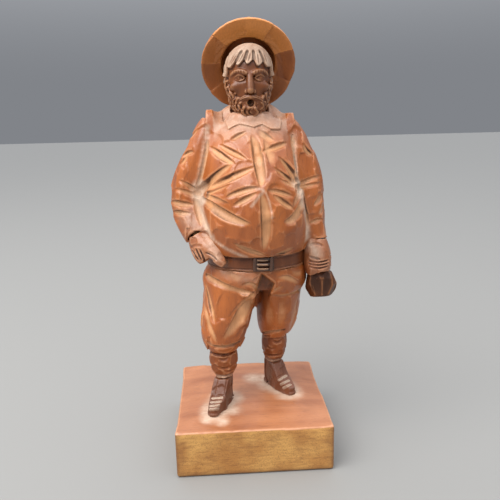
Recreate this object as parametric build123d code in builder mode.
from build123d import *
import math
import os
from dataclasses import dataclass

# A carved wooden incense smoker: a stout countryman in a broad hat, on a block plinth.
# It comes apart above the belt. The lower half carries a tin burner plate with an incense
# cone, and the hollow upper half lifts off it and lets the smoke out through the mouth.
# Millimetres. +Z is up, the figure faces -Y, and the origin is in the middle of the underside.


@dataclass
class Oval:
    """A level oval cut through a carved form: its middle and its half sizes."""

    x: float
    y: float
    half_width: float
    half_depth: float

    def right(self, out):
        """The x of a point that lies out beyond the figure's right side of the oval."""
        return self.x - self.half_width - out

    def left(self, out):
        """The x of a point that lies out beyond the figure's left side of the oval."""
        return self.x + self.half_width + out


RIGHT = -1  # the figure's right side, towards -X
LEFT = 1


@dataclass
class Station:
    """A point on a limb's path, placed beside the body, with the half sizes of the limb there."""

    beside: Oval
    side: int
    level: float
    out: float  # beyond that side of the oval
    rise: float  # above the level
    y: float
    half_width: float
    half_depth: float

    @property
    def x(self):
        return self.beside.right(self.out) if self.side == RIGHT else self.beside.left(self.out)

    @property
    def z(self):
        return self.level + self.rise


@dataclass
class Cut:
    """A leaf-shaped gouge cut in a rounded form, with its width and depth in the middle.

    Its ends are angles round the form in degrees, 0 at the front and 90 at the figure's left,
    and heights above or below the form's own level.
    """

    start: tuple
    end: tuple
    width: float
    depth: float

    @property
    def middle(self):
        return tuple((a + b) / 2 for a, b in zip(self.start, self.end))

    @property
    def mirrored(self):
        start, end = ((-turn, rise) for turn, rise in (self.start, self.end))
        return Cut(start, end, self.width, self.depth)


# Fits
GLUE_GAP = 0.05  # between a glued dowel and its hole, all round
DOWEL_END_GAP = 0.2  # left at the bottom of a dowel hole
SPIGOT_GAP = 0.3  # between the spigot ring and the socket of the upper half
BODY_GAP = 0.5  # between what hangs on the upper half and the lower half beside it
DOWEL_RADIUS = 2.0

# Plinth
PLINTH_WIDTH = 70.0
PLINTH_DEPTH = 68.0
PLINTH_HEIGHT = 23.0
PLINTH_SIDE_SLOPE = 12.0  # width of the pared border at the sides of the top
PLINTH_FRONT_SLOPE = 14.0
PLINTH_BACK_SLOPE = 2.0
PLINTH_DROP = 1.5  # fall of that border to the edge
PLINTH_CHAMFER = 0.8  # round the underside
plinth_top = PLINTH_HEIGHT

# Shoes, in their own direction from the ankle
SHOE_HEIGHT = 12.5
HEEL_BACK = 5.4
HEEL_RADIUS = 3.5
HEEL_TOP = 8.0
COLLAR_HALF = 4.6
BALL_FORWARD = 8.6
BALL_RADIUS = 4.0
BALL_TOP = 6.4
TOE_FORWARD = 17.2
TOE_RADIUS = 2.5
TOE_TOP = 3.6
RIGHT_TOE_OUT = 21.0  # degrees
LEFT_TOE_OUT = 28.0
ankle_z = plinth_top + SHOE_HEIGHT

# Stockings
RIGHT_ANKLE = Oval(x=-12.7, y=-7.0, half_width=4.2, half_depth=4.6)
RIGHT_CALF = Oval(x=RIGHT_ANKLE.x, y=RIGHT_ANKLE.y + 0.8, half_width=6.8, half_depth=6.6)
LEFT_ANKLE = Oval(x=12.2, y=9.0, half_width=4.0, half_depth=4.5)
LEFT_CALF = Oval(x=LEFT_ANKLE.x + 0.6, y=LEFT_ANKLE.y - 1.2, half_width=6.3, half_depth=6.6)
RIGHT_CALF_LENGTH = 12.8
LEFT_CALF_LENGTH = 14.8
CALF_FULLEST = 8.0  # above the ankle
KNEE_TAPER = 0.5  # the stocking draws in by this under the breeches
right_knee_z = ankle_z + RIGHT_CALF_LENGTH
left_knee_z = ankle_z + LEFT_CALF_LENGTH
LEG_DOWEL_IN_PLINTH = 12.0
LEG_DOWEL_IN_BREECHES = 12.0

# Breeches, and the upright line through the burner that the two halves part along
BURNER_X = 4.0
BURNER_Y = -1.5
LEGS_HEIGHT = 66.3  # plinth top to waist
CUFF_RISE = 6.0  # from the gathered hem to the full bag of the leg
BAG_RISE = 17.0  # from the hem to the fullest part
HIP_DROP = 8.0  # below the waist
CROTCH_DROP = 13.0  # below the waist
RIGHT_CUFF = Oval(x=RIGHT_CALF.x, y=RIGHT_CALF.y + 0.2, half_width=7.1, half_depth=7.4)
RIGHT_KNEE_BAG = Oval(x=RIGHT_CUFF.x + 0.5, y=RIGHT_CUFF.y + 0.2, half_width=10.2, half_depth=10.2)
RIGHT_BAG = Oval(x=-10.9, y=-4.6, half_width=11.6, half_depth=12.4)
RIGHT_THIGH = Oval(x=-8.0, y=-2.4, half_width=13.0, half_depth=13.6)
LEFT_CUFF = Oval(x=LEFT_CALF.x, y=LEFT_CALF.y - 0.6, half_width=7.1, half_depth=7.4)
LEFT_KNEE_BAG = Oval(x=LEFT_CUFF.x + 0.8, y=LEFT_CUFF.y - 1.0, half_width=9.5, half_depth=9.8)
LEFT_BAG = Oval(x=14.4, y=3.6, half_width=10.8, half_depth=12.0)
LEFT_THIGH = Oval(x=14.2, y=0.2, half_width=12.6, half_depth=13.8)
CROTCH = Oval(x=3.0, y=-1.0, half_width=22.6, half_depth=14.5)
HIPS = Oval(x=3.0, y=-1.2, half_width=24.3, half_depth=18.0)
WAIST = Oval(x=BURNER_X, y=BURNER_Y, half_width=22.0, half_depth=18.2)
AIR_HOLE_RADIUS = 1.8
AIR_HOLE_BACK = 7.0  # from the middle of the burner towards the back
AIR_HOLE_DROP = 8.0  # below the waist, where it comes out at the back
waist_z = plinth_top + LEGS_HEIGHT

# Main folds of the breeches: round the hips, and round the fullest part of each leg
CUT_END_LIFT = 0.15  # a gouge comes in and out this far above the wood
HIP_CUTS = [
    Cut((-70, -6.0), (-6, -10.5), width=2.6, depth=0.8),
    Cut((27, -4.4), (58, -8.4), width=2.6, depth=0.7),
    Cut((7, -2.6), (7, -11.6), width=5.0, depth=1.5),
]
RIGHT_LEG_CUTS = [
    Cut((-66, -8.0), (-22, -24.0), width=2.8, depth=0.7),
    Cut((-78, -18.0), (-26, -34.0), width=3.2, depth=0.8),
    Cut((46, -14.0), (10, -21.5), width=2.4, depth=0.7),
    Cut((58, -15.5), (2, -31.5), width=5.0, depth=0.8),
    Cut((202, -16.0), (220, -31.0), width=3.0, depth=0.8),
    Cut((245, -14.0), (240, -32.0), width=3.0, depth=0.7),
]
LEFT_LEG_CUTS = [
    Cut((158, -16.0), (140, -31.0), width=3.0, depth=0.8),
    Cut((115, -14.0), (120, -31.0), width=3.0, depth=0.7),
]

# Belt, buckle and spigot ring
BELT_PROUD = 0.6
BELT_HEIGHT = 7.0
BUCKLE_OFFSET = 2.2  # from the burner's line towards the figure's left
BUCKLE_WIDTH = 8.6
BUCKLE_HEIGHT = 6.4
BUCKLE_PROUD = 1.4
BUCKLE_BAR = 1.6
SPIGOT_RADIUS = 16.2
SPIGOT_WALL = 2.4
SPIGOT_STANDS = 6.0  # above the belt, into the upper half
BELT = Oval(
    x=BURNER_X,
    y=BURNER_Y,
    half_width=WAIST.half_width + BELT_PROUD,
    half_depth=WAIST.half_depth + BELT_PROUD,
)
seam_z = waist_z + BELT_HEIGHT
spigot_bore = SPIGOT_RADIUS - SPIGOT_WALL

# Burner
PLATE_GAP = 0.3
PLATE_SHEET = 0.6
PLATE_RIM = 2.4
PLATE_HOLE_RADIUS = 1.2
PLATE_HOLES = 4
CUP_RADIUS = 6.6
CUP_SHEET = 0.6
CUP_HEIGHT = 4.0
NAIL_RADIUS = 0.9
NAIL_LENGTH = 11.0
NAIL_HEAD_RADIUS = 2.4
NAIL_HEAD_HEIGHT = 0.7
CONE_GAP = 0.6  # between the incense cone and its cup
CONE_HEIGHT = 24.0
CONE_TIP_RADIUS = 1.2
cup_floor_z = waist_z + PLATE_SHEET + CUP_SHEET
cone_base_z = cup_floor_z + NAIL_HEAD_HEIGHT
cone_radius = CUP_RADIUS - CUP_SHEET - CONE_GAP

# Upper half: heights above the seam, and drops below the top of the torso
TORSO_HEIGHT = 58.0
PAUNCH_RISE = 8.0
BELLY_RISE = 19.0
BREAST_DROP = 26.0
CHEST_DROP = 14.0
SHOULDER_DROP = 5.0
SEAM = Oval(x=BELT.x, y=BELT.y - 0.9, half_width=BELT.half_width + 0.2, half_depth=20.4)
PAUNCH = Oval(x=4.2, y=-4.2, half_width=24.0, half_depth=22.6)
BELLY = Oval(x=3.8, y=-5.0, half_width=24.0, half_depth=23.0)
BREAST = Oval(x=3.2, y=-4.0, half_width=22.8, half_depth=21.0)
CHEST = Oval(x=2.4, y=-1.8, half_width=20.8, half_depth=17.0)
SHOULDERS = Oval(x=3.0, y=0.2, half_width=16.6, half_depth=12.4)
NECK = Oval(x=2.5, y=0.6, half_width=8.4, half_depth=8.2)
HOOD_FOOT = Oval(x=NECK.x + 0.1, y=NECK.y + 3.8, half_width=16.4, half_depth=7.4)
HOOD = Oval(x=NECK.x + 0.3, y=NECK.y + 4.2, half_width=14.0, half_depth=6.4)
HOOD_TOP = Oval(x=NECK.x + 0.5, y=NECK.y + 5.0, half_width=7.6, half_depth=4.8)
HOOD_RISE = 2.0
HOOD_TOP_RISE = 6.4
SOCKET_DEPTH = 9.0
CHAMBER_RADIUS = 14.6
CHAMBER_WALLS = 18.0  # height of the straight part above the socket
CHAMBER_DOME = 12.0  # height of the taper above that
SMOKE_RADIUS = 2.5
WING_HEIGHT = 17.0
RIGHT_WING_ABOVE_TOP = 3.9
LEFT_WING_ABOVE_TOP = 1.8
WING_THICKNESS = 2.6
WING_DEPTH = 13.0
WING_LEAN = 1.6  # the wing's foot stands this much further out than its tip
RIGHT_WING_OUT = 3.0  # its tip, beyond the side of the shoulders
LEFT_WING_OUT = 2.2
WING_Y = 0.5
torso_top = seam_z + TORSO_HEIGHT

# Main folds of the waistcoat, drawn to the navel and to each armpit
BELLY_CUTS = [
    Cut((-1, 51.0), (7, 30.5), width=4.4, depth=1.2),
    Cut((6, 27.5), (9, 4.5), width=4.2, depth=1.1),
    Cut((-35, 25.5), (1, 29.5), width=3.0, depth=0.8),
    Cut((-26, 22.5), (-2, 27.5), width=2.8, depth=0.7),
    Cut((11, 28.5), (41, 25.0), width=2.6, depth=0.7),
    Cut((16, 26.5), (40, 19.5), width=3.0, depth=0.8),
]
ARMPIT_CUTS = [
    Cut((-74, 27.0), (-29, 39.5), width=5.0, depth=1.6),
    Cut((-71, 28.0), (-2, 37.5), width=3.4, depth=1.0),
    Cut((-62, 23.5), (-10, 14.5), width=4.4, depth=1.2),
    Cut((56, 31.0), (34, 41.0), width=4.0, depth=1.3),
    Cut((52, 30.0), (21, 37.5), width=3.0, depth=0.9),
    Cut((58, 23.0), (29, 14.5), width=4.0, depth=1.0),
    Cut((-66, 45.5), (-31, 39.0), width=3.2, depth=0.8),
    Cut((-58, 46.5), (-17, 41.0), width=2.8, depth=0.8),
    Cut((12, 43.5), (58, 46.5), width=2.8, depth=0.8),
]
BACK_CUTS = [
    Cut((128, 26.0), (165, 43.0), width=3.6, depth=1.0),
    Cut((127, 22.5), (171, 29.5), width=3.2, depth=0.9),
    Cut((128, 18.5), (169, 12.0), width=3.4, depth=0.9),
]

# Sleeves, from the shoulder down to the cuff
RIGHT_SLEEVE_TOP = Station(
    SHOULDERS, RIGHT, torso_top, out=2.8, rise=0.2, y=2.0, half_width=2.0, half_depth=4.6
)
RIGHT_SHOULDER = Station(
    SHOULDERS, RIGHT, torso_top, out=3.9, rise=-5.0, y=2.0, half_width=4.4, half_depth=7.2
)
RIGHT_UPPER_ARM = Station(
    CHEST, RIGHT, torso_top, out=4.2, rise=-19.0, y=2.0, half_width=6.5, half_depth=9.0
)
RIGHT_ELBOW = Station(
    BELLY, RIGHT, seam_z, out=6.8, rise=22.5, y=2.4, half_width=7.6, half_depth=9.0
)
RIGHT_FOREARM = Station(
    PAUNCH, RIGHT, seam_z, out=5.6, rise=12.6, y=-2.2, half_width=6.4, half_depth=7.6
)
RIGHT_SLEEVE_END = Station(
    SEAM, RIGHT, seam_z, out=3.6, rise=6.6, y=-7.6, half_width=5.4, half_depth=5.8
)
LEFT_SLEEVE_TOP = Station(
    SHOULDERS, LEFT, torso_top, out=1.6, rise=-0.8, y=2.0, half_width=1.6, half_depth=4.6
)
LEFT_SHOULDER = Station(
    SHOULDERS, LEFT, torso_top, out=0.8, rise=-5.0, y=2.0, half_width=4.8, half_depth=7.2
)
LEFT_UPPER_ARM = Station(
    CHEST, LEFT, torso_top, out=3.2, rise=-19.0, y=2.0, half_width=6.2, half_depth=9.0
)
LEFT_ELBOW = Station(
    BELLY, LEFT, seam_z, out=1.4, rise=21.0, y=1.2, half_width=7.0, half_depth=9.4
)
LEFT_SLEEVE_END = Station(
    SEAM, LEFT, seam_z, out=4.4, rise=3.0, y=-3.2, half_width=5.9, half_depth=6.8
)
RIGHT_ARM = [
    RIGHT_SLEEVE_TOP,
    RIGHT_SHOULDER,
    RIGHT_UPPER_ARM,
    RIGHT_ELBOW,
    RIGHT_FOREARM,
    RIGHT_SLEEVE_END,
]
LEFT_ARM = [LEFT_SLEEVE_TOP, LEFT_SHOULDER, LEFT_UPPER_ARM, LEFT_ELBOW, LEFT_SLEEVE_END]
ARM_DOWEL_REACH = 4.0  # into the torso, and into the sleeve
WEB_FRONT_Y = -6.0  # the wood left standing between the right forearm and the belly
WEB_BACK_Y = 2.5
WEB_IN_TORSO = 2.0  # how far it would go into the torso before it is fitted to it

# Hands and pouch, hung on the sleeves. A hand's first station is inside its cuff.
RIGHT_WRIST = Station(
    BELT, RIGHT, seam_z, out=5.4, rise=9.6, y=-4.8, half_width=3.9, half_depth=3.4
)
RIGHT_PALM = Station(
    BELT, RIGHT, seam_z, out=3.0, rise=4.4, y=-9.8, half_width=5.2, half_depth=3.8
)
RIGHT_KNUCKLES = Station(
    BELT, RIGHT, seam_z, out=1.0, rise=1.2, y=-12.4, half_width=6.2, half_depth=3.8
)
RIGHT_FINGERTIPS = Station(
    BELT, RIGHT, seam_z, out=-0.6, rise=-2.2, y=-13.8, half_width=5.2, half_depth=2.8
)
RIGHT_HAND = [RIGHT_WRIST, RIGHT_PALM, RIGHT_KNUCKLES, RIGHT_FINGERTIPS]
RIGHT_HAND_WIDE = (0.74, -0.67, 0.0)  # across the knuckles, along the hip
THUMB_ROOT = Station(
    BELT, RIGHT, seam_z, out=-1.2, rise=2.6, y=-14.6, half_width=2.4, half_depth=2.4
)
THUMB_JOINT = Station(
    BELT, RIGHT, seam_z, out=-4.8, rise=-1.0, y=-17.4, half_width=2.3, half_depth=2.3
)
THUMB_TIP = Station(
    BELT, RIGHT, seam_z, out=-7.6, rise=-3.8, y=-18.6, half_width=1.5, half_depth=1.5
)
THUMB = [THUMB_ROOT, THUMB_JOINT, THUMB_TIP]
LEFT_WRIST = Station(
    BELT, LEFT, seam_z, out=4.6, rise=5.0, y=-2.8, half_width=4.2, half_depth=4.4
)
LEFT_PALM = Station(
    BELT, LEFT, seam_z, out=5.6, rise=-1.4, y=-5.2, half_width=5.4, half_depth=6.2
)
LEFT_KNUCKLES = Station(
    BELT, LEFT, seam_z, out=6.2, rise=-6.8, y=-5.8, half_width=5.6, half_depth=6.6
)
FIST_END = Station(
    BELT, LEFT, seam_z, out=6.4, rise=-10.8, y=-5.6, half_width=4.8, half_depth=5.6
)
LEFT_FIST = [LEFT_WRIST, LEFT_PALM, LEFT_KNUCKLES, FIST_END]
WRIST_DOWEL_RADIUS = 1.6
WRIST_DOWEL_IN_SLEEVE = 8.0
WRIST_DOWEL_IN_HAND = 4.0
POUCH_NECK = Oval(x=FIST_END.x + 1.0, y=FIST_END.y + 0.4, half_width=2.2, half_depth=2.2)
POUCH_SHOULDER = Oval(x=POUCH_NECK.x + 0.4, y=POUCH_NECK.y + 0.6, half_width=5.6, half_depth=5.4)
POUCH_BODY = Oval(x=POUCH_NECK.x + 0.6, y=POUCH_NECK.y + 1.0, half_width=6.7, half_depth=6.2)
POUCH_HEEL = Oval(x=POUCH_NECK.x + 0.2, y=POUCH_NECK.y + 1.0, half_width=2.8, half_depth=2.8)
POUCH_HEIGHT = 13.4
POUCH_SHOULDER_DROP = 3.0
POUCH_BODY_DROP = 7.4
POUCH_NECK_IN_FIST = 5.0

# Head
HEAD_HEIGHT = 32.0
BEARD_TIP = Oval(x=NECK.x - 0.2, y=NECK.y - 4.8, half_width=5.4, half_depth=5.0)
JAW = Oval(x=NECK.x - 0.2, y=NECK.y - 2.4, half_width=9.6, half_depth=9.4)
CHEEK = Oval(x=NECK.x - 0.2, y=NECK.y - 0.9, half_width=10.1, half_depth=10.9)
BROW = Oval(x=NECK.x - 0.1, y=NECK.y, half_width=10.5, half_depth=11.4)
CROWN = Oval(x=NECK.x, y=NECK.y + 0.4, half_width=8.4, half_depth=9.2)
HEAD_TOP = Oval(x=NECK.x + 0.1, y=NECK.y + 0.6, half_width=3.4, half_depth=3.8)
JAW_RISE = 6.5
CHEEK_RISE = 13.0
BROW_RISE = 20.5
CROWN_RISE = 28.0
NAPE_RADIUS = 5.6
NAPE_RISE = 9.0
NOSE_RISE = 11.0
NOSE_LENGTH = 6.0
NOSE_HALF_WIDTH = 1.9
NOSE_PROUD = 2.2
NOSE_ROOT = 2.5  # depth that it runs into the face
MOUTH_RISE = 6.0
MOUTH_RADIUS = 1.6
NECK_TUBE_RADIUS = 3.6
NECK_TUBE_IN_TORSO = 9.0
NECK_TUBE_IN_HEAD = 3.4

# Hat, tipped right back: its own axis runs from the face back through the crown
HAT_TILT = 62.0  # degrees from lying level
HAT_ASIDE = 0.2  # middle of the brim from the middle of the neck
HAT_BEHIND = 4.0
HAT_RISE = 22.3  # middle of the brim above the top of the torso
BRIM_RADIUS = 20.7
BRIM_HOLE = 11.9
BRIM_INNER = 2.6  # thickness beside the hole
BRIM_OUTER = 1.8  # thickness at the rim
BRIM_DISH = 1.0  # the rim comes forward by this
CROWN_RADIUS = 14.2
CROWN_SHOULDER = 12.4
CROWN_HEIGHT = 13.5
CROWN_EASE = 3.0  # sloped edge round its end
CROWN_HOLLOW = 7.0
CROWN_HOLLOW_RADIUS = 9.0
HAT_DOWEL_IN_HEAD = 5.0
HAT_DOWEL_IN_CROWN = 4.0
hat_plane = Plane(
    origin=(NECK.x + HAT_ASIDE, NECK.y + HAT_BEHIND, torso_top + HAT_RISE),
    x_dir=(1, 0, 0),
    z_dir=(0, math.sin(math.radians(HAT_TILT)), math.cos(math.radians(HAT_TILT))),
)


def level(oval, z, grow=0.0):
    """A level oval section at height z, made larger all round by grow."""
    with BuildSketch(Plane((oval.x, oval.y, z))) as section:
        Ellipse(oval.half_width + grow, oval.half_depth + grow)
    return section.sketch.face()


def along(stations, wide=(1, 0, 0)):
    """Oval sections square to a limb's path. wide is the way that their width runs."""
    points = [Vector(s.x, s.y, s.z) for s in stations]
    sections = []
    for i, station in enumerate(stations):
        before = points[max(i - 1, 0)]
        after = points[min(i + 1, len(points) - 1)]
        heading = (after - before).normalized()
        across = Vector(*wide)
        across = across - heading * across.dot(heading)
        with BuildSketch(Plane(points[i], x_dir=across, z_dir=heading)) as section:
            Ellipse(station.half_width, station.half_depth)
        sections.append(section.sketch.face())
    return sections


def on_surface(piece, middle, turn, z):
    """The outermost point of a piece on that side of an upright line, and the way it faces there."""
    outward = Vector(math.sin(math.radians(turn)), -math.cos(math.radians(turn)), 0)
    hits = piece.find_intersection_points(Axis((middle.x, middle.y, z), outward))
    point, facing = max(hits, key=lambda hit: hit[0].dot(outward))
    if facing.dot(outward) < 0:
        facing = -facing
    return point, facing


def gouge(piece, middle, base_z, cut):
    """The path of a round gouge that makes one cut: it dips into the piece and comes out again."""
    radius = (cut.width**2 / 4 + cut.depth**2) / (2 * cut.depth)
    lifts = (radius + CUT_END_LIFT, radius - cut.depth, radius + CUT_END_LIFT)
    stops = []
    for (turn, rise), lift in zip((cut.start, cut.middle, cut.end), lifts):
        point, facing = on_surface(piece, middle, turn, base_z + rise)
        stops.append(point + facing * lift)
    with BuildPart() as made:
        with BuildLine() as path:
            ThreePointArc(*stops)
        with BuildSketch(path.line ^ 0):
            Circle(radius)
        sweep()
    return made.part


def finish(builder, label):
    """Labels a finished piece and writes it out."""
    builder.part.label = label
    export_step(builder.part, f"parts/{label}.step")


os.makedirs("parts", exist_ok=True)

# Plinth: a sawn block with its top pared down towards the edges, bored for the leg dowels.
with BuildPart() as plinth:
    with BuildSketch():
        Rectangle(PLINTH_WIDTH, PLINTH_DEPTH)
    extrude(amount=plinth_top - PLINTH_DROP)
    chamfer(plinth.faces().sort_by(Axis.Z)[0].edges(), PLINTH_CHAMFER)
    with BuildSketch(Plane.XY.offset(plinth_top - PLINTH_DROP)):
        Rectangle(PLINTH_WIDTH, PLINTH_DEPTH)
    with BuildSketch(Plane((0, (PLINTH_FRONT_SLOPE - PLINTH_BACK_SLOPE) / 2, plinth_top))):
        Rectangle(
            PLINTH_WIDTH - 2 * PLINTH_SIDE_SLOPE,
            PLINTH_DEPTH - PLINTH_FRONT_SLOPE - PLINTH_BACK_SLOPE,
        )
    loft(ruled=True)
    with Locations(*[(ankle.x, ankle.y, plinth_top) for ankle in (RIGHT_ANKLE, LEFT_ANKLE)]):
        Hole(DOWEL_RADIUS + GLUE_GAP, depth=LEG_DOWEL_IN_PLINTH + DOWEL_END_GAP)
finish(plinth, "plinth")


# Shoes, stockings and leg dowels: each leg is threaded on one dowel from plinth to breeches.
def shoe(ankle, toe_turn, label):
    """One shoe. toe_turn is the angle of its toe from +X, in degrees."""
    foot = Plane(
        origin=(ankle.x, ankle.y, plinth_top),
        x_dir=(math.cos(math.radians(toe_turn)), math.sin(math.radians(toe_turn)), 0),
        z_dir=(0, 0, 1),
    )
    side = Plane(origin=foot.origin, x_dir=foot.x_dir, z_dir=foot.x_dir.cross(foot.z_dir))
    with BuildPart() as made:
        with BuildSketch(foot):
            with Locations((-HEEL_BACK + HEEL_RADIUS, 0)):
                Circle(HEEL_RADIUS)
            with Locations((BALL_FORWARD, 0)):
                Circle(BALL_RADIUS)
            with Locations((TOE_FORWARD - TOE_RADIUS, 0)):
                Circle(TOE_RADIUS)
            make_hull()
        extrude(amount=SHOE_HEIGHT)
        with BuildSketch(side):
            with BuildLine():
                Polyline(
                    (-HEEL_BACK, 0),
                    (TOE_FORWARD, 0),
                    (TOE_FORWARD, TOE_TOP),
                    (BALL_FORWARD, BALL_TOP),
                    (COLLAR_HALF, SHOE_HEIGHT),
                    (-COLLAR_HALF, SHOE_HEIGHT),
                    (-HEEL_BACK, HEEL_TOP),
                    close=True,
                )
            make_face()
        extrude(amount=BALL_RADIUS + HEEL_RADIUS, both=True, mode=Mode.INTERSECT)
        with Locations((ankle.x, ankle.y, ankle_z)):
            Hole(DOWEL_RADIUS + GLUE_GAP)
    finish(made, label)


def stocking(ankle, calf, knee_z, label):
    """One stockinged calf, bored for its dowel."""
    with BuildPart() as made:
        loft(
            sections=[
                level(ankle, ankle_z),
                level(calf, ankle_z + CALF_FULLEST),
                level(calf, knee_z, grow=-KNEE_TAPER),
            ]
        )
        with Locations((ankle.x, ankle.y, knee_z)):
            Hole(DOWEL_RADIUS + GLUE_GAP)
    finish(made, label)


def leg_dowel(ankle, knee_z, label):
    """The dowel that a leg is threaded on."""
    foot_z = plinth_top - LEG_DOWEL_IN_PLINTH
    with BuildPart() as made:
        with BuildSketch(Plane((ankle.x, ankle.y, foot_z))):
            Circle(DOWEL_RADIUS)
        extrude(amount=knee_z + LEG_DOWEL_IN_BREECHES - foot_z)
    finish(made, label)


shoe(RIGHT_ANKLE, -90 - RIGHT_TOE_OUT, "right_shoe")
shoe(LEFT_ANKLE, -90 + LEFT_TOE_OUT, "left_shoe")
stocking(RIGHT_ANKLE, RIGHT_CALF, right_knee_z, "right_stocking")
stocking(LEFT_ANKLE, LEFT_CALF, left_knee_z, "left_stocking")
leg_dowel(RIGHT_ANKLE, right_knee_z, "right_leg_dowel")
leg_dowel(LEFT_ANKLE, left_knee_z, "left_leg_dowel")

# Breeches: two baggy legs gathered below the knee, and the hips, with an air hole to the burner.
# The main folds are gouged into the finished block.
with BuildPart() as breeches_block:
    loft(
        sections=[
            level(CROTCH, waist_z - CROTCH_DROP),
            level(HIPS, waist_z - HIP_DROP),
            level(WAIST, waist_z),
        ]
    )
    for knee_z, cuff, knee_bag, bag, thigh in (
        (right_knee_z, RIGHT_CUFF, RIGHT_KNEE_BAG, RIGHT_BAG, RIGHT_THIGH),
        (left_knee_z, LEFT_CUFF, LEFT_KNEE_BAG, LEFT_BAG, LEFT_THIGH),
    ):
        loft(
            sections=[
                level(cuff, knee_z),
                level(knee_bag, knee_z + CUFF_RISE),
                level(bag, knee_z + BAG_RISE),
                level(thigh, waist_z - HIP_DROP),
            ]
        )
    for ankle, knee_z in ((RIGHT_ANKLE, right_knee_z), (LEFT_ANKLE, left_knee_z)):
        with BuildSketch(Plane((ankle.x, ankle.y, knee_z))):
            Circle(DOWEL_RADIUS + GLUE_GAP)
        extrude(amount=LEG_DOWEL_IN_BREECHES + DOWEL_END_GAP, mode=Mode.SUBTRACT)
    with Locations((BURNER_X, BURNER_Y + AIR_HOLE_BACK, waist_z)):
        Hole(AIR_HOLE_RADIUS, depth=AIR_HOLE_DROP + AIR_HOLE_RADIUS)
    with BuildSketch(
        Plane(
            origin=(BURNER_X, BURNER_Y + AIR_HOLE_BACK, waist_z - AIR_HOLE_DROP),
            x_dir=(1, 0, 0),
            z_dir=(0, 1, 0),
        )
    ):
        Circle(AIR_HOLE_RADIUS)
    extrude(amount=HIPS.half_depth, mode=Mode.SUBTRACT)
    with Locations((BURNER_X, BURNER_Y, waist_z)):
        Hole(NAIL_RADIUS + GLUE_GAP, depth=NAIL_LENGTH)

with BuildPart() as breeches:
    add(breeches_block.part)
    for middle, cuts in ((HIPS, HIP_CUTS), (RIGHT_BAG, RIGHT_LEG_CUTS), (LEFT_BAG, LEFT_LEG_CUTS)):
        for cut in cuts:
            add(gouge(breeches_block.part, middle, waist_z, cut), mode=Mode.SUBTRACT)
finish(breeches, "breeches")

# Belt: an oval wooden ring glued on the waist, bored for the spigot ring.
with BuildPart() as belt:
    with BuildSketch(Plane((BURNER_X, BURNER_Y, waist_z))):
        Ellipse(BELT.half_width, BELT.half_depth)
        Circle(SPIGOT_RADIUS + GLUE_GAP, mode=Mode.SUBTRACT)
    extrude(amount=BELT_HEIGHT)
finish(belt, "belt")

# Buckle: a frame with one crossbar, hollowed to the belt's curve and glued on its front.
with BuildPart() as buckle:
    with BuildSketch(Plane((BURNER_X, BURNER_Y, waist_z + (BELT_HEIGHT - BUCKLE_HEIGHT) / 2))):
        Ellipse(BELT.half_width + BUCKLE_PROUD, BELT.half_depth + BUCKLE_PROUD)
        Ellipse(BELT.half_width, BELT.half_depth, mode=Mode.SUBTRACT)
    extrude(amount=BUCKLE_HEIGHT)
    with BuildSketch(
        Plane(
            origin=(BURNER_X + BUCKLE_OFFSET, BURNER_Y, waist_z + BELT_HEIGHT / 2),
            x_dir=(1, 0, 0),
            z_dir=(0, -1, 0),
        )
    ):
        Rectangle(BUCKLE_WIDTH, BUCKLE_HEIGHT)
        window_height = (BUCKLE_HEIGHT - 3 * BUCKLE_BAR) / 2
        with GridLocations(0, window_height + BUCKLE_BAR, 1, 2):
            Rectangle(BUCKLE_WIDTH - 2 * BUCKLE_BAR, window_height, mode=Mode.SUBTRACT)
    extrude(amount=BELT.half_depth + BUCKLE_PROUD, mode=Mode.INTERSECT)
finish(buckle, "buckle")

# Spigot ring: a turned ring glued in the belt, which the upper half drops over.
with BuildPart() as spigot_ring:
    with BuildSketch(Plane((BURNER_X, BURNER_Y, waist_z))):
        Circle(SPIGOT_RADIUS)
        Circle(spigot_bore, mode=Mode.SUBTRACT)
    extrude(amount=BELT_HEIGHT + SPIGOT_STANDS)
    chamfer(spigot_ring.edges().group_by(Axis.Z)[-1].sort_by(SortBy.RADIUS)[-1], SPIGOT_WALL / 4)
finish(spigot_ring, "spigot_ring")

# Burner: a dished tin plate, a cup for the cone, and the nail that holds both to the breeches.
with BuildPart() as burner_plate:
    with BuildSketch(Plane((BURNER_X, BURNER_Y, waist_z))):
        Circle(spigot_bore - PLATE_GAP)
    extrude(amount=PLATE_RIM)
    with BuildSketch(Plane((BURNER_X, BURNER_Y, waist_z + PLATE_SHEET))):
        Circle(spigot_bore - PLATE_GAP - PLATE_SHEET)
    extrude(amount=PLATE_RIM - PLATE_SHEET, mode=Mode.SUBTRACT)
    with Locations((BURNER_X, BURNER_Y, waist_z + PLATE_SHEET)):
        Hole(NAIL_RADIUS + GLUE_GAP)
        with PolarLocations((CUP_RADIUS + spigot_bore - PLATE_GAP - PLATE_SHEET) / 2, PLATE_HOLES):
            Hole(PLATE_HOLE_RADIUS)
finish(burner_plate, "burner_plate")

with BuildPart() as cone_cup:
    with BuildSketch(Plane((BURNER_X, BURNER_Y, waist_z + PLATE_SHEET))):
        Circle(CUP_RADIUS)
    extrude(amount=CUP_HEIGHT)
    with BuildSketch(Plane((BURNER_X, BURNER_Y, cup_floor_z))):
        Circle(CUP_RADIUS - CUP_SHEET)
    extrude(amount=CUP_HEIGHT - CUP_SHEET, mode=Mode.SUBTRACT)
    with Locations((BURNER_X, BURNER_Y, cup_floor_z)):
        Hole(NAIL_RADIUS + GLUE_GAP)
finish(cone_cup, "cone_cup")

with BuildPart() as burner_nail:
    with BuildSketch(Plane((BURNER_X, BURNER_Y, cup_floor_z))):
        Circle(NAIL_HEAD_RADIUS)
    extrude(amount=NAIL_HEAD_HEIGHT)
    with BuildSketch(Plane((BURNER_X, BURNER_Y, cup_floor_z))):
        Circle(NAIL_RADIUS)
    extrude(amount=-NAIL_LENGTH)
finish(burner_nail, "burner_nail")

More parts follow.
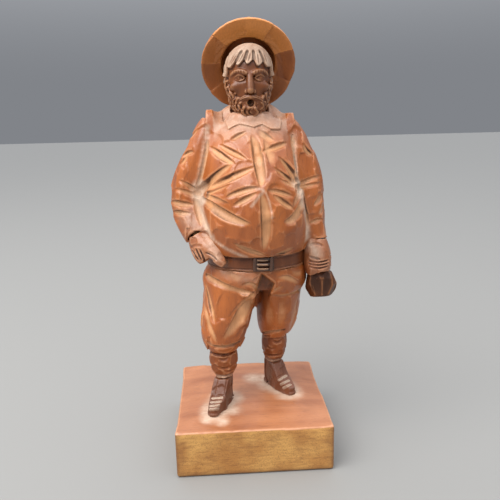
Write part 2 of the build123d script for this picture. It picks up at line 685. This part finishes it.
# Incense cone: stands loose on the nail's head, inside the cup.
with BuildPart() as incense_cone:
    with BuildSketch(Plane((BURNER_X, BURNER_Y, cone_base_z))):
        Circle(cone_radius)
    with BuildSketch(Plane((BURNER_X, BURNER_Y, cone_base_z + CONE_HEIGHT))):
        Circle(CONE_TIP_RADIUS)
    loft(ruled=True)
finish(incense_cone, "incense_cone")

# Torso: belly, chest and neck in one carved piece, hollowed from below into the smoke chamber.
# The stiff armholes of the waistcoat stand up on the shoulders, and its main folds are gouged in
# once the sleeves and the head are fitted to the block.
chamber_top_z = seam_z + SOCKET_DEPTH + CHAMBER_WALLS + CHAMBER_DOME
arm_dowel_planes = [
    Plane(
        origin=(CHEST.x + outward * CHEST.half_width, CHEST.y, torso_top - CHEST_DROP),
        x_dir=(0, 1, 0),
        z_dir=(outward, 0, 0),
    )
    for outward in (-1, 1)
]


def wing(x, tip_z, outward):
    """The armhole's edge on one shoulder, from its outer tip down. outward is the way it faces."""
    foot_z = tip_z - WING_HEIGHT
    with BuildPart() as made:
        with BuildSketch(Plane((0, WING_Y + WING_DEPTH / 2, 0), x_dir=(1, 0, 0), z_dir=(0, -1, 0))):
            with BuildLine():
                Polyline(
                    (x, tip_z),
                    (x + outward * WING_LEAN, foot_z),
                    (x - outward * WING_THICKNESS * 2, foot_z),
                    (x - outward * WING_THICKNESS, tip_z),
                    close=True,
                )
            make_face()
        extrude(amount=WING_DEPTH)
        with BuildSketch(Plane((x, WING_Y, foot_z), x_dir=(0, 1, 0), z_dir=(1, 0, 0))):
            Ellipse(WING_DEPTH / 2, WING_HEIGHT)
        extrude(amount=WING_HEIGHT, both=True, mode=Mode.INTERSECT)
    return made.part


def dowel_hole(plane, radius, reach):
    """The hole for a dowel that goes in by reach on both sides of a plane."""
    with BuildPart() as made:
        with BuildSketch(plane):
            Circle(radius + GLUE_GAP)
        extrude(amount=reach + DOWEL_END_GAP, both=True)
    return made.part


wings = [
    wing(SHOULDERS.right(RIGHT_WING_OUT), torso_top + RIGHT_WING_ABOVE_TOP, -1),
    wing(SHOULDERS.left(LEFT_WING_OUT), torso_top + LEFT_WING_ABOVE_TOP, 1),
]
arm_holes = [dowel_hole(plane, DOWEL_RADIUS, ARM_DOWEL_REACH) for plane in arm_dowel_planes]

with BuildPart() as torso_block:
    loft(
        sections=[
            level(SEAM, seam_z),
            level(PAUNCH, seam_z + PAUNCH_RISE),
            level(BELLY, seam_z + BELLY_RISE),
            level(BREAST, torso_top - BREAST_DROP),
            level(CHEST, torso_top - CHEST_DROP),
            level(SHOULDERS, torso_top - SHOULDER_DROP),
            level(NECK, torso_top),
        ]
    )
    loft(
        sections=[
            level(HOOD_FOOT, torso_top - SHOULDER_DROP),
            level(HOOD, torso_top + HOOD_RISE),
            level(HOOD_TOP, torso_top + HOOD_TOP_RISE),
        ]
    )
    with BuildSketch(Plane((NECK.x, NECK.y, torso_top))):
        Ellipse(NECK.half_width, NECK.half_depth)
    extrude(amount=HOOD_TOP_RISE, mode=Mode.SUBTRACT)
    add(wings)
    with BuildSketch(Plane((BURNER_X, BURNER_Y, seam_z), x_dir=(1, 0, 0), z_dir=(0, -1, 0))):
        with BuildLine():
            Polyline(
                (0, 0),
                (SPIGOT_RADIUS + SPIGOT_GAP, 0),
                (SPIGOT_RADIUS + SPIGOT_GAP, SOCKET_DEPTH),
                (CHAMBER_RADIUS, SOCKET_DEPTH),
                (CHAMBER_RADIUS, SOCKET_DEPTH + CHAMBER_WALLS),
                (SMOKE_RADIUS, chamber_top_z - seam_z),
                (0, chamber_top_z - seam_z),
                close=True,
            )
        make_face()
    revolve(axis=Axis((BURNER_X, BURNER_Y, 0), (0, 0, 1)), mode=Mode.SUBTRACT)
    with Locations((NECK.x, NECK.y, torso_top)):
        Hole(NECK_TUBE_RADIUS + GLUE_GAP, depth=NECK_TUBE_IN_TORSO)
        Hole(SMOKE_RADIUS, depth=torso_top - chamber_top_z + CHAMBER_DOME / 2)
    add(arm_holes, mode=Mode.SUBTRACT)

with BuildPart() as torso:
    add(torso_block.part)
    for cut in BELLY_CUTS + ARMPIT_CUTS + BACK_CUTS + [cut.mirrored for cut in BACK_CUTS]:
        add(gouge(torso_block.part, BELLY, seam_z, cut), mode=Mode.SUBTRACT)
finish(torso, "torso")


# Sleeves: carved against the torso's sides and doweled to it at the shoulder. A web of wood is
# left between the right forearm and the belly.
def cuff_plane(arm):
    """The plane of a cuff's end, facing out of the sleeve."""
    end = Vector(arm[-1].x, arm[-1].y, arm[-1].z)
    heading = end - Vector(arm[-2].x, arm[-2].y, arm[-2].z)
    return Plane(end, z_dir=heading)


wrist_holes = []
for arm in (RIGHT_ARM, LEFT_ARM):
    plane = cuff_plane(arm)
    with BuildPart() as made:
        with BuildSketch(plane.offset(-WRIST_DOWEL_IN_SLEEVE - DOWEL_END_GAP)):
            Circle(WRIST_DOWEL_RADIUS + GLUE_GAP)
        extrude(amount=WRIST_DOWEL_IN_SLEEVE + WRIST_DOWEL_IN_HAND + 2 * DOWEL_END_GAP)
    wrist_holes.append(made.part)

with BuildPart() as right_sleeve:
    loft(sections=along(RIGHT_ARM))
    with BuildSketch(Plane((0, WEB_BACK_Y, 0), x_dir=(1, 0, 0), z_dir=(0, -1, 0))):
        with BuildLine():
            Polyline(
                (RIGHT_SLEEVE_END.x, RIGHT_SLEEVE_END.z),
                (RIGHT_FOREARM.x, RIGHT_FOREARM.z),
                (RIGHT_ELBOW.x, RIGHT_ELBOW.z),
                (BELLY.right(-WEB_IN_TORSO), RIGHT_ELBOW.z),
                (PAUNCH.right(-WEB_IN_TORSO), RIGHT_FOREARM.z),
                (SEAM.right(-WEB_IN_TORSO), RIGHT_SLEEVE_END.z),
                close=True,
            )
        make_face()
    extrude(amount=WEB_BACK_Y - WEB_FRONT_Y)
    add(torso_block.part, mode=Mode.SUBTRACT)
    add(arm_holes[0], mode=Mode.SUBTRACT)
    add(wrist_holes[0], mode=Mode.SUBTRACT)
finish(right_sleeve, "right_sleeve")

with BuildPart() as left_sleeve:
    loft(sections=along(LEFT_ARM))
    add(torso_block.part, mode=Mode.SUBTRACT)
    add(arm_holes[1], mode=Mode.SUBTRACT)
    add(wrist_holes[1], mode=Mode.SUBTRACT)
finish(left_sleeve, "left_sleeve")

for plane, label in zip(arm_dowel_planes, ("right_arm_dowel", "left_arm_dowel")):
    with BuildPart() as arm_dowel:
        with BuildSketch(plane):
            Circle(DOWEL_RADIUS)
        extrude(amount=ARM_DOWEL_REACH, both=True)
    finish(arm_dowel, label)

for arm, label in ((RIGHT_ARM, "right_wrist_dowel"), (LEFT_ARM, "left_wrist_dowel")):
    with BuildPart() as wrist_dowel:
        with BuildSketch(cuff_plane(arm).offset(-WRIST_DOWEL_IN_SLEEVE)):
            Circle(WRIST_DOWEL_RADIUS)
        extrude(amount=WRIST_DOWEL_IN_SLEEVE + WRIST_DOWEL_IN_HAND)
    finish(wrist_dowel, label)

# Room for the hands: the lower half, larger all round by the gap that lets them lift off it.
with BuildPart() as lower_room:
    loft(
        sections=[
            level(CROTCH, waist_z - CROTCH_DROP, grow=BODY_GAP),
            level(HIPS, waist_z - HIP_DROP, grow=BODY_GAP),
            level(WAIST, waist_z, grow=BODY_GAP),
        ]
    )
    with BuildSketch(Plane((BURNER_X, BURNER_Y, waist_z - HIP_DROP))):
        Ellipse(BELT.half_width + BODY_GAP, BELT.half_depth + BODY_GAP)
    extrude(amount=HIP_DROP + BELT_HEIGHT)

# Hands: the right one lies open on the belt, the left one is a fist round the pouch's neck.
with BuildPart() as right_hand:
    loft(sections=along(RIGHT_HAND, wide=RIGHT_HAND_WIDE))
    loft(sections=along(THUMB))
    add(lower_room.part, mode=Mode.SUBTRACT)
    add(right_sleeve.part, mode=Mode.SUBTRACT)
    add(torso_block.part, mode=Mode.SUBTRACT)
    add(wrist_holes[0], mode=Mode.SUBTRACT)
finish(right_hand, "right_hand")

with BuildPart() as left_hand:
    loft(sections=along(LEFT_FIST))
    add(lower_room.part, mode=Mode.SUBTRACT)
    add(left_sleeve.part, mode=Mode.SUBTRACT)
    add(torso_block.part, mode=Mode.SUBTRACT)
    add(wrist_holes[1], mode=Mode.SUBTRACT)
    with BuildSketch(Plane((POUCH_NECK.x, POUCH_NECK.y, FIST_END.z - POUCH_SHOULDER_DROP))):
        Ellipse(POUCH_NECK.half_width + GLUE_GAP, POUCH_NECK.half_depth + GLUE_GAP)
    extrude(
        amount=POUCH_SHOULDER_DROP + POUCH_NECK_IN_FIST + DOWEL_END_GAP,
        mode=Mode.SUBTRACT,
    )
finish(left_hand, "left_hand")

# Pouch: a gathered bag whose neck is glued in the fist.
with BuildPart() as pouch:
    loft(
        sections=[
            level(POUCH_NECK, FIST_END.z),
            level(POUCH_SHOULDER, FIST_END.z - POUCH_SHOULDER_DROP),
            level(POUCH_BODY, FIST_END.z - POUCH_BODY_DROP),
            level(POUCH_HEEL, FIST_END.z - POUCH_HEIGHT),
        ]
    )
    add(left_hand.part, mode=Mode.SUBTRACT)
    with BuildSketch(Plane((POUCH_NECK.x, POUCH_NECK.y, FIST_END.z - POUCH_SHOULDER_DROP))):
        Ellipse(POUCH_NECK.half_width, POUCH_NECK.half_depth)
    extrude(amount=POUCH_SHOULDER_DROP + POUCH_NECK_IN_FIST)
finish(pouch, "pouch")

# Hat: a dished brim tipped back behind the head, and a turned crown glued on it.
with BuildPart() as hat_brim:
    with BuildSketch(Plane(hat_plane.origin, x_dir=hat_plane.x_dir, z_dir=-hat_plane.y_dir)):
        with BuildLine():
            Polyline(
                (BRIM_HOLE, 0),
                (BRIM_RADIUS, -BRIM_DISH),
                (BRIM_RADIUS, BRIM_OUTER - BRIM_DISH),
                (CROWN_RADIUS, BRIM_INNER),
                (BRIM_HOLE, BRIM_INNER),
                close=True,
            )
        make_face()
    revolve(axis=Axis(hat_plane.origin, hat_plane.z_dir))
finish(hat_brim, "hat_brim")

hat_dowel_hole = dowel_hole(
    hat_plane.offset(CROWN_HOLLOW + (HAT_DOWEL_IN_CROWN - HAT_DOWEL_IN_HEAD) / 2),
    DOWEL_RADIUS,
    (HAT_DOWEL_IN_CROWN + HAT_DOWEL_IN_HEAD) / 2,
)
with BuildPart() as hat_crown:
    with BuildSketch(Plane(hat_plane.origin, x_dir=hat_plane.x_dir, z_dir=-hat_plane.y_dir)):
        with BuildLine():
            Polyline(
                (0, CROWN_HOLLOW),
                (CROWN_HOLLOW_RADIUS, CROWN_HOLLOW),
                (BRIM_HOLE, BRIM_INNER),
                (CROWN_RADIUS, BRIM_INNER),
                (CROWN_SHOULDER, CROWN_HEIGHT - CROWN_EASE),
                (CROWN_SHOULDER - CROWN_EASE, CROWN_HEIGHT),
                (0, CROWN_HEIGHT),
                close=True,
            )
        make_face()
    revolve(axis=Axis(hat_plane.origin, hat_plane.z_dir))
    add(hat_dowel_hole, mode=Mode.SUBTRACT)
finish(hat_crown, "hat_crown")

with BuildPart() as hat_dowel:
    with BuildSketch(hat_plane.offset(CROWN_HOLLOW - HAT_DOWEL_IN_HEAD)):
        Circle(DOWEL_RADIUS)
    extrude(amount=HAT_DOWEL_IN_HEAD + HAT_DOWEL_IN_CROWN)
finish(hat_dowel, "hat_dowel")

# Head: bearded, with a plain nose, bored from the neck to the mouth, and flat where the hat sits.
face_y = CHEEK.y - CHEEK.half_depth
with BuildPart() as head:
    loft(
        sections=[
            level(BEARD_TIP, torso_top),
            level(JAW, torso_top + JAW_RISE),
            level(CHEEK, torso_top + CHEEK_RISE),
            level(BROW, torso_top + BROW_RISE),
            level(CROWN, torso_top + CROWN_RISE),
            level(HEAD_TOP, torso_top + HEAD_HEIGHT),
        ]
    )
    with BuildSketch(Plane((NECK.x, NECK.y, torso_top))):
        Circle(NAPE_RADIUS)
    extrude(amount=NAPE_RISE)
    with BuildSketch(Plane((CHEEK.x, 0, 0), x_dir=(0, 1, 0), z_dir=(1, 0, 0))):
        with BuildLine():
            Polyline(
                (face_y + NOSE_ROOT, torso_top + NOSE_RISE + NOSE_LENGTH),
                (face_y - NOSE_PROUD, torso_top + NOSE_RISE),
                (face_y + NOSE_ROOT, torso_top + NOSE_RISE),
                close=True,
            )
        make_face()
    extrude(amount=NOSE_HALF_WIDTH, both=True)
    with BuildSketch(hat_plane.offset(CROWN_HOLLOW)):
        Circle(BRIM_RADIUS)
    extrude(amount=HEAD_HEIGHT, mode=Mode.SUBTRACT)
    add(hat_brim.part, mode=Mode.SUBTRACT)
    add(hat_crown.part, mode=Mode.SUBTRACT)
    add(hat_dowel_hole, mode=Mode.SUBTRACT)
    add(torso_block.part, mode=Mode.SUBTRACT)
    with BuildSketch(Plane((NECK.x, NECK.y, torso_top))):
        Circle(NECK_TUBE_RADIUS + GLUE_GAP)
    extrude(amount=NECK_TUBE_IN_HEAD + DOWEL_END_GAP, mode=Mode.SUBTRACT)
    with BuildSketch(Plane((NECK.x, NECK.y, torso_top))):
        Circle(SMOKE_RADIUS)
    extrude(amount=MOUTH_RISE + MOUTH_RADIUS, mode=Mode.SUBTRACT)
    with BuildSketch(Plane((NECK.x, NECK.y, torso_top + MOUTH_RISE), z_dir=(0, -1, 0))):
        Circle(MOUTH_RADIUS)
    extrude(amount=CHEEK.half_depth + NOSE_PROUD, mode=Mode.SUBTRACT)
finish(head, "head")

# Neck tube: a hollow dowel that joins the head to the torso and passes the smoke.
with BuildPart() as neck_tube:
    with BuildSketch(Plane((NECK.x, NECK.y, torso_top - NECK_TUBE_IN_TORSO + DOWEL_END_GAP))):
        Circle(NECK_TUBE_RADIUS)
        Circle(SMOKE_RADIUS, mode=Mode.SUBTRACT)
    extrude(amount=NECK_TUBE_IN_TORSO - DOWEL_END_GAP + NECK_TUBE_IN_HEAD)
finish(neck_tube, "neck_tube")
